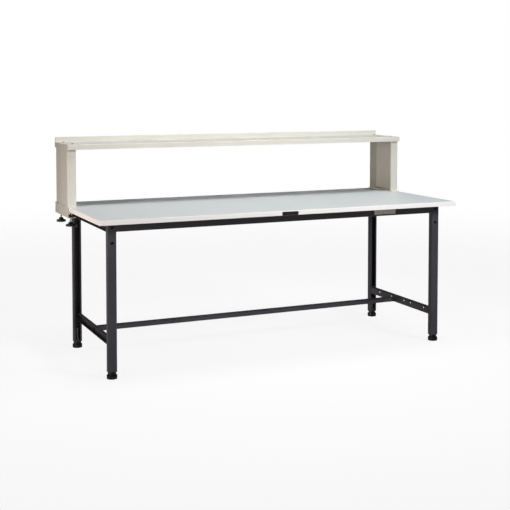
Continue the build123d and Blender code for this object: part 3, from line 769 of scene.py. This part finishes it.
def hexagon_head(reach, height, shank_reach, shank):
    """Outline of a hexagon head with its chamfer, on a shank."""
    return [(0, -shank), (shank_reach, -shank), (shank_reach, 0), (reach, 0, 1),
            (reach, height - HEX_CHAMFER, 1), (reach - HEX_CHAMFER, height, CHAMFER_HEX_SHARE), (0, height)]


def hexagon_nut(reach, height, hole_reach):
    """Outline of a nut, chamfered on both faces, with its bore."""
    flat, mouth = reach - HEX_CHAMFER, hole_reach + HEX_CHAMFER
    return [(hole_reach, HEX_CHAMFER), (mouth, 0), (flat, 0, CHAMFER_HEX_SHARE), (reach, HEX_CHAMFER, 1),
            (reach, height - HEX_CHAMFER, 1), (flat, height, CHAMFER_HEX_SHARE), (mouth, height),
            (hole_reach, height - HEX_CHAMFER), (hole_reach, HEX_CHAMFER)]


def leg_bolt_seats():
    """Seat and outward way of the two bolts in each leg."""
    upper = span("frame_bolts")[1].z - BUTTON_REACH
    seats = []
    for corner in CORNERS:
        low, high, middle = span(f"leg_{corner}")
        side = Y_SIDES[corner.split("_")[0]]
        face = high.y if side > 0 else low.y
        seats += [((middle.x, face, height), (0, side, 0)) for height in (upper, upper - LEG_BOLT_PITCH)]
    return seats


def stretcher_bolt_seats():
    """Seat and outward way of the bolt at each end of the stretcher."""
    low, high, middle = span("lower_stretcher")
    height = low.z + (high.z - low.z - SHEET) / 2
    return [((side * (high.x + SHEET), middle.y, height), (side, 0, 0)) for side in X_SIDES.values()]


button = turned(button_head(BUTTON_REACH, BUTTON_HEIGHT, SOCKET_REACH, SOCKET_DEPTH, M8_REACH, LEG_SHANK),
                black_steel)
hexagon = turned(hexagon_head(M8_HEX_REACH, HEX_HEAD_HEIGHT, M8_REACH, LEG_SHANK), black_steel)
m8_nut = turned(hexagon_nut(M8_HEX_REACH, M8_NUT_HEIGHT, M8_REACH + HOLE_EASE), zinc)
leg_seats, stretcher_seats = leg_bolt_seats(), stretcher_bolt_seats()
bolts = [set_at(leg_seats, button, black_steel), set_at(stretcher_seats, hexagon, black_steel)]
finished("pressed_frame_bolts", joined(bolts), "bench", "black_steel", "frame_bolts")
nut_depth = SHEET + BRACKET + M8_NUT_HEIGHT
nut_seats = [(Vector(spot) - Vector(way) * nut_depth, way) for spot, way in leg_seats + stretcher_seats]
finished("pressed_frame_nuts", set_at(nut_seats, m8_nut, zinc), "bench", "zinc_steel", "frame_nuts")


# %% [markdown]
# ## Screws under the worktop
# Fourteen pan-head wood screws come up through the top flanges of the frame into the
# chipboard. They are seen only from below, so a turned pan with a hexagon recess and a
# plain shank is all that they need.

# %% Worktop screws
WOOD_HEAD_REACH = 4.5 * MM
WOOD_HEAD_HEIGHT = 3 * MM
WOOD_SHANK_REACH = 2.25 * MM
WOOD_KEY_REACH = 1.6 * MM
WOOD_KEY_DEPTH = 1.6 * MM
APRON_SCREW_PITCH = 350 * MM
APRON_SCREW_STEPS = (-2, -1, 0, 1, 2)
RAIL_SCREW_REACH = 170 * MM


def worktop_screw_seats():
    """Seat under a flange and downward way of each worktop screw."""
    low, high, middle = span("worktop_screws")
    seat = low.z + WOOD_HEAD_HEIGHT
    head = WOOD_HEAD_REACH
    spots = [(step * APRON_SCREW_PITCH, y) for y in (low.y + head, high.y - head)
             for step in APRON_SCREW_STEPS]
    spots += [(x, middle.y + side * RAIL_SCREW_REACH) for x in (low.x + head, high.x - head)
              for side in Y_SIDES.values()]
    return [((x, y, seat), (0, 0, -1)) for x, y in spots]


wood_shank = span("worktop_screws")[1].z - span("worktop_screws")[0].z - WOOD_HEAD_HEIGHT
wood_screw = turned(button_head(WOOD_HEAD_REACH, WOOD_HEAD_HEIGHT, WOOD_KEY_REACH, WOOD_KEY_DEPTH,
                                WOOD_SHANK_REACH, wood_shank), zinc, sides=24)
finished("pressed_worktop_screws", set_at(worktop_screw_seats(), wood_screw, zinc),
         "bench", "zinc_steel", "worktop_screws")


# %% [markdown]
# ## Screws and nuts of the stand
# Two blackened button-head screws hold the shelf on each upright, dark spots in the bright
# rings of their zinc washers. Nuts below them, nuts on the studs in the upright's foot, and
# the welded nuts under the clamp arms are hexagons of two sizes.

# %% Stand fasteners
M6_REACH = 3 * MM
M6_HEAD_REACH = 5.5 * MM
M6_HEAD_HEIGHT = 3 * MM
M6_KEY_REACH = 2 * MM
M6_KEY_DEPTH = 1.9 * MM
M6_NUT_REACH = 5 * MM
M6_NUT_HEIGHT = 5 * MM
WASHER_REACH = 9 * MM
WASHER_HEIGHT = 1 * MM
WASHER_EASE = 0.3 * MM
SHELF_SHEET = 1.5 * MM
STUD_REACH = 60 * MM
UP = (0, 0, 1)


def washer_outline(hole_reach):
    """Outline of a flat washer with eased rims."""
    return [(hole_reach, 0), (WASHER_REACH, 0), (WASHER_REACH, WASHER_HEIGHT - WASHER_EASE),
            (WASHER_REACH - WASHER_EASE, WASHER_HEIGHT), (hole_reach + WASHER_EASE, WASHER_HEIGHT),
            (hole_reach, WASHER_HEIGHT - WASHER_EASE), (hole_reach, 0)]


def mirror_places(x, ys, z):
    """A place that looks up at each side of the bench for each y."""
    return [((side * x, y, z), UP) for side in X_SIDES.values() for y in ys]


low, high = span("shelf_screws")[:2]
screw_x = high.x - M6_HEAD_REACH
screw_ys = (low.y + M6_HEAD_REACH, high.y - M6_HEAD_REACH)
deck_top = span("shelf_deck")[1].z
m6_shank = deck_top - low.z
m6_screw = turned(button_head(M6_HEAD_REACH, M6_HEAD_HEIGHT, M6_KEY_REACH, M6_KEY_DEPTH, M6_REACH,
                              m6_shank), black_steel)
washer = turned(washer_outline(M6_HEAD_REACH + HOLE_EASE), zinc)
screw_seats = mirror_places(screw_x, screw_ys, deck_top)
finished("pressed_shelf_screws", set_at(screw_seats, m6_screw, black_steel),
         "stand", "black_steel", "shelf_screws")
finished("flat_shelf_washers", set_at(screw_seats, washer, zinc), "stand", "zinc_steel")

m6_nut = turned(hexagon_nut(M6_NUT_REACH, M6_NUT_HEIGHT, M6_REACH + HOLE_EASE), zinc)
under_head = deck_top - 2 * SHELF_SHEET - M6_NUT_HEIGHT
upright_low, _, upright_middle = span("upright_right")
stud_ys = (upright_middle.y - STUD_REACH, upright_middle.y + STUD_REACH)
arm_low = span("clamp_bracket_right")[0].z
clamp_middles = [span(f"clamp_screw_{clamp}")[2] for clamp in CLAMPS]
arm_places = [((spot.x, spot.y, arm_low - M8_NUT_HEIGHT), UP) for spot in clamp_middles]
nuts = [set_at(mirror_places(screw_x, screw_ys, under_head), m6_nut, zinc),
        set_at(mirror_places(upright_middle.x, stud_ys, upright_low.z + SHELF_SHEET), m6_nut, zinc),
        set_at(arm_places, m8_nut, zinc)]
finished("pressed_stand_nuts", joined(nuts), "stand", "zinc_steel", "stand_nuts")


# %% [markdown]
# ## Weld seams
# Rails and aprons are welded to the legs before the frame is coated, and the coat keeps the
# ripple of the bead. A bead is a line swept with a small round profile that swells once for
# each ripple, with a little chance in it. It lies in the corner between two sheets, so half
# of it is sunk in them. A ripple is 1.5 mm long and the bead 3.6 mm wide.

# %% The welds
RIPPLE = 1.5 * MM
BEAD_WIDTH = 3.6 * MM
BEAD_SEED = 11
LEG_LIP = 8 * MM
STEPS_PER_RIPPLE = 4
SWELL_SHARE = 0.22
CHANCE_SHARES = (0.94, 1.04)


def weld_tree():
    tree, given, made = new_tree("weld_bead", {
        "Ripple": "Float", "Width": "Float", "Seed": "Int", "Material": "Material"})
    line = add(tree, "GeometryNodeMeshToCurve", None, {"Mesh": given["Geometry"]})
    step = add(tree, "DIVIDE", {1: STEPS_PER_RIPPLE}, {0: given["Ripple"]})
    fine = add(tree, "GeometryNodeResampleCurve", None, {"Curve": line, "Length": step}, mode="LENGTH")
    run = add(tree, "GeometryNodeSplineParameter")
    ripples = add(tree, "DIVIDE", None, {0: run.outputs["Length"], 1: given["Ripple"]})
    turns = add(tree, "MULTIPLY", {1: math.pi}, {0: ripples})
    swell = add(tree, "SINE", None, {0: turns})
    arc = add(tree, "ABSOLUTE", None, {0: swell})
    share = add(tree, "MULTIPLY_ADD", {1: SWELL_SHARE, 2: 1 - SWELL_SHARE}, {0: arc})
    least, most = CHANCE_SHARES
    chance = add(tree, "FunctionNodeRandomValue", {2: least, 3: most}, {"Seed": given["Seed"]},
                 data_type="FLOAT")
    uneven = add(tree, "MULTIPLY", None, {0: share, 1: chance})
    half = add(tree, "MULTIPLY", {1: 0.5}, {0: given["Width"]})
    radius = add(tree, "MULTIPLY", None, {0: uneven, 1: half})
    ring = add(tree, "GeometryNodeCurvePrimitiveCircle", {"Resolution": 8, "Radius": 1})
    bead = add(tree, "GeometryNodeCurveToMesh", {"Fill Caps": True},
               {"Curve": fine, "Profile Curve": ring, "Scale": radius})
    close_tree(tree, given, made, bead)
    return tree


def rail_seams(node, leg_node, end):
    """The corner lines where a side rail meets a leg: up its web, and below it on the leg's lips."""
    low, high, middle = span(node)
    side = 1 if middle.x > 0 else -1
    y = high.y if end > 0 else low.y
    web, outer = (low.x, high.x) if side > 0 else (high.x, low.x)
    lip, end_gap = side * LEG_LIP, side * BEAD_WIDTH / 2
    lines = [((web, y, low.z + BEAD_WIDTH), (web, y, high.z - BEAD_WIDTH)),
             ((web + end_gap, y, low.z), (web + lip, y, low.z))]
    leg_reach = max(abs(corner.x) for corner in span(leg_node)[:2])
    if leg_reach - abs(outer) < BEAD_WIDTH:
        lines.append(((outer - lip, y, low.z), (outer - end_gap, y, low.z)))
    return lines


def apron_seams(node, side_x):
    """The corner lines where an apron meets a leg: along its bottom."""
    low, high = span(node)[:2]
    x = high.x if side_x > 0 else low.x
    return [((x, low.y + BEAD_WIDTH, low.z), (x, high.y - BEAD_WIDTH, low.z))]


seams = []
for x_name in X_SIDES:
    for y_name, y_side in Y_SIDES.items():
        for rail in ("top_rail", "lower_rail"):
            seams += rail_seams(f"{rail}_{x_name}", f"leg_{y_name}_{x_name}", y_side)
for y_name in Y_SIDES:
    for x_side in X_SIDES.values():
        seams += apron_seams(f"{y_name}_apron", x_side)
seam_mesh = bpy.data.meshes.new("seams")
seam_edges = [(2 * i, 2 * i + 1) for i in range(len(seams))]
seam_mesh.from_pydata([end for seam in seams for end in seam], seam_edges, [])
bead_values = {"Ripple": RIPPLE, "Width": BEAD_WIDTH, "Seed": BEAD_SEED, "Material": charcoal}
beads = grown(weld_tree(), seam_mesh, bead_values)
print("weld beads", len(seams))
finished("weld_beads", beads, "bench", "charcoal_powder_coat")


# %% [markdown]
# ## Bare plates
# A dark plate sits in the middle of the front edge and a white film near the right end of
# the apron. The plate is pressed, with a raised rim and two round pins, and the film has
# rounded corners. Each is a stack of rounded rings that step inwards.

# %% Plates
RING_STEPS = 6
PLATE_CORNER = 2.5 * MM
PLATE_EASE = 0.3 * MM
PLATE_RIM = 1.2 * MM
PLATE_SINK = 0.4 * MM
PIN_REACH = 1.6 * MM
PIN_HEIGHT = 0.4 * MM
PIN_INSET = 5 * MM
PIN_DOME_SHARES = ((0.8, 0.7), (0.4, 0.95))
FILM_CORNER = 3 * MM
LEAST_CORNER = 0.2 * MM


def rounded_ring(half_x, half_z, corner):
    """Points of a rounded rectangle in X and Z."""
    points = []
    for quarter, (side_x, side_z) in enumerate(((1, 1), (-1, 1), (-1, -1), (1, -1))):
        for step in range(RING_STEPS + 1):
            turn = math.radians(90) * (quarter + step / RING_STEPS)
            points.append((side_x * (half_x - corner) + corner * math.cos(turn),
                           side_z * (half_z - corner) + corner * math.sin(turn)))
    return points


def pressed_plate(node, corner, steps, material):
    """A rounded plate the size of a CAD node, facing the front; each step is an inset and a depth."""
    low, high, middle = span(node)
    shape = bmesh.new()
    rings = []
    for inset, depth in steps:
        half_x, half_z = (high.x - low.x) / 2 - inset, (high.z - low.z) / 2 - inset
        ring = rounded_ring(half_x, half_z, max(corner - inset, LEAST_CORNER))
        rings.append([shape.verts.new((middle.x + x, high.y - depth, middle.z + z)) for x, z in ring])
    for lower, upper in zip(rings, rings[1:]):
        for i in range(len(lower)):
            j = (i + 1) % len(lower)
            shape.faces.new((lower[i], lower[j], upper[j], upper[i]))
    shape.faces.new(rings[0])
    shape.faces.new(rings[-1])
    mesh = bpy.data.meshes.new(node)
    shape.to_mesh(mesh)
    shape.free()
    mesh.materials.append(material)
    return mesh


plate_low, plate_high, plate_middle = span("name_plate")
thick = plate_high.y - plate_low.y
plate_steps = [(0, 0), (0, thick - PLATE_EASE), (PLATE_EASE, thick), (PLATE_RIM, thick),
               (PLATE_RIM + PLATE_SINK, thick - PLATE_SINK)]
pin_dome = [(PIN_REACH * out, PIN_HEIGHT * up) for out, up in PIN_DOME_SHARES]
pin_outline = [(0, -PLATE_SINK), (PIN_REACH, -PLATE_SINK), (PIN_REACH, 0), *pin_dome, (0, PIN_HEIGHT)]
pin_places = [((x, plate_low.y + PLATE_SINK, plate_middle.z), (0, -1, 0))
              for x in (plate_low.x + PIN_INSET, plate_high.x - PIN_INSET)]
plate = joined([pressed_plate("name_plate", PLATE_CORNER, plate_steps, dark_plate),
                set_at(pin_places, turned(pin_outline, dark_plate, sides=20), dark_plate)])
finished("pressed_front_plate", plate, "bench", "dark_plate", "name_plate")
film_low, film_high = span("apron_label")[:2]
film_thick = film_high.y - film_low.y
film_steps = [(0, 0), (0, film_thick - PLATE_EASE / 2), (PLATE_EASE / 2, film_thick)]
finished("vinyl_film", pressed_plate("apron_label", FILM_CORNER, film_steps, label_film),
         "bench", "white_label", "apron_label")

# %% [markdown]
# ## Studio
# The photograph is a catalogue cut-out with soft light from above and from the right. The
# surround here is white where the camera sees it and much dimmer where it only lights the
# bench, a little warmer on the left and brighter from below. The floor is a pale disc that
# fades out before its rim, so no horizon cuts the picture.

# %% World and floor
FLOOR_REACH = 9.0
FLOOR_RINGS = 64
FADE_FROM = 1.2
FADE_TO = 6.5
FLOOR_COVER = 0.12
WORLD_LEFT = "#3a3530"
WORLD_RIGHT = "#3c3d40"
WORLD_BELOW = "#a9a7a4"
SIDE_FADE = (-0.7, 0.5)
HEIGHT_FADE = (-0.35, 0.1)
bpy.context.scene.view_settings.view_transform = "Standard"

world = bpy.data.worlds.new("studio_white")
world.use_nodes = True
sky = world.node_tree
seen = sky.nodes["Background"]
seen.inputs["Color"].default_value = (1.0, 1.0, 1.0, 1.0)
direction = add(sky, "ShaderNodeTexCoord")
split_direction = add(sky, "ShaderNodeSeparateXYZ", None, {0: direction.outputs["Generated"]})
side_share = add(sky, "ShaderNodeMapRange", {1: SIDE_FADE[0], 2: SIDE_FADE[1]},
                 {0: split_direction.outputs[0]})
side_light = add(sky, "ShaderNodeMix", {6: linear(WORLD_LEFT), 7: linear(WORLD_RIGHT)}, {0: side_share},
                 data_type="RGBA")
height_share = add(sky, "ShaderNodeMapRange", {1: HEIGHT_FADE[0], 2: HEIGHT_FADE[1]},
                   {0: split_direction.outputs[2]})
all_light = add(sky, "ShaderNodeMix", {6: linear(WORLD_BELOW)}, {0: height_share, 7: side_light.outputs[2]},
                data_type="RGBA")
felt = add(sky, "ShaderNodeBackground", None, {"Color": all_light.outputs[2]})
eye = add(sky, "ShaderNodeLightPath")
either = add(sky, "ShaderNodeMixShader", None, {0: eye.outputs["Is Camera Ray"], 1: felt, 2: seen})
sky.links.new(either.outputs[0], sky.nodes["World Output"].inputs["Surface"])
bpy.context.scene.world = world

floor_shape = bmesh.new()
bmesh.ops.create_circle(floor_shape, cap_ends=True, radius=FLOOR_REACH, segments=FLOOR_RINGS)
floor_mesh = bpy.data.meshes.new("floor")
floor_shape.to_mesh(floor_mesh)
floor_shape.free()
floor = linked("floor", floor_mesh)
floor_paint = Finish("floor_pale_matt", "#f6f6f6", 0.9)
reach = add(floor_paint.tree, VECTOR_MATH, None, {0: floor_paint.where}, operation="LENGTH")
fade = add(floor_paint.tree, "ShaderNodeMapRange",
           {1: FADE_FROM / MM, 2: FADE_TO / MM, 3: FLOOR_COVER, 4: 0},
           {0: reach.outputs["Value"]}, interpolation_type="SMOOTHSTEP")
floor_paint.tree.links.new(fade.outputs[0], floor_paint.shader.inputs["Alpha"])
paint(floor, floor_paint.material)


# %% [markdown]
# ## Lamps
# Four area lamps stand round the bench. Two overhead, a little in front of the shelf, light
# the worktop and draw the shelf's soft shadow on its rear. A box at the front right
# brightens the uprights' fronts, and a small warm one on the left lights the left faces.
# The right box is kept out of reflections, or its glare would whiten the worktop from behind.

# %% Lamps
LEFT_OVERHEAD_POWER = 35
RIGHT_OVERHEAD_POWER = 24
RIGHT_POWER = 21
SIDE_POWER = 3.2
OVERHEAD_SIZE = (1.0, 0.6)


def softbox(name, place, target, size, power, tone="#ffffff", spread_deg=180, shines=True):
    """A rectangular area light turned to a target; one that does not shine leaves no glare."""
    lamp = bpy.data.lights.new(name, "AREA")
    lamp.shape = "RECTANGLE"
    lamp.size, lamp.size_y = size
    lamp.energy = power
    lamp.color = linear(tone)[:3]
    lamp.spread = math.radians(spread_deg)
    holder = linked(name, lamp)
    aim = Vector(target) - Vector(place)
    holder.matrix_world = Matrix.Translation(place) @ aim.to_track_quat("-Z", "Y").to_matrix().to_4x4()
    holder.visible_glossy = shines


softbox("left_overhead", (-0.7, -0.25, 3.0), (-0.5, 0.0, 0.7), OVERHEAD_SIZE, LEFT_OVERHEAD_POWER)
softbox("right_overhead", (0.9, -0.25, 3.0), (0.5, 0.0, 0.7), OVERHEAD_SIZE, RIGHT_OVERHEAD_POWER)
softbox("right_softbox", (2.2, -3.2, 2.7), (0.0, 0.0, 0.8), (1.2, 1.0), RIGHT_POWER, spread_deg=60,
        shines=False)
softbox("side_softbox", (-3.0, -0.9, 1.0), (-0.9, -0.1, 0.7), (0.8, 0.6), SIDE_POWER, "#ffeee3",
        spread_deg=40)


# %% [markdown]
# ## Camera
# The camera was found by fitting the bench's known edges to the photograph. It stands 4.6 m
# in front of the bench's middle, 2.1 m to its left and 1.27 m up, and looks 3 degrees down.
# The lens is shifted down, as an architect's is, which keeps the legs almost upright.

# %% Camera at the photograph's place
CAMERA_PLACE = (-2.0793, -4.5751, 1.2747)
CAMERA_YAW_DEG = 24.10
CAMERA_PITCH_DEG = 3.0
FOCAL_PX = 1030.3
MIDDLE_PX = (250.5, 138.3)
PHOTO_PX = 510
SENSOR_MM = 36.0
FAR_CLIP = 200.0
lens = bpy.data.cameras.new("camera")
lens.sensor_width = SENSOR_MM
lens.sensor_fit = "HORIZONTAL"
lens.lens = FOCAL_PX / PHOTO_PX * SENSOR_MM
lens.shift_x = (PHOTO_PX / 2 - MIDDLE_PX[0]) / PHOTO_PX
lens.shift_y = (MIDDLE_PX[1] - PHOTO_PX / 2) / PHOTO_PX
lens.clip_end = FAR_CLIP
camera = linked("camera", lens)
turn = Matrix.Rotation(math.radians(-CAMERA_YAW_DEG), 4, "Z")
tilt = Matrix.Rotation(math.radians(90 - CAMERA_PITCH_DEG), 4, "X")
camera.matrix_world = Matrix.Translation(CAMERA_PLACE) @ turn @ tilt
bpy.context.scene.camera = camera
print("lens", round(lens.lens, 2), "mm, shift", round(lens.shift_x, 4), round(lens.shift_y, 4))
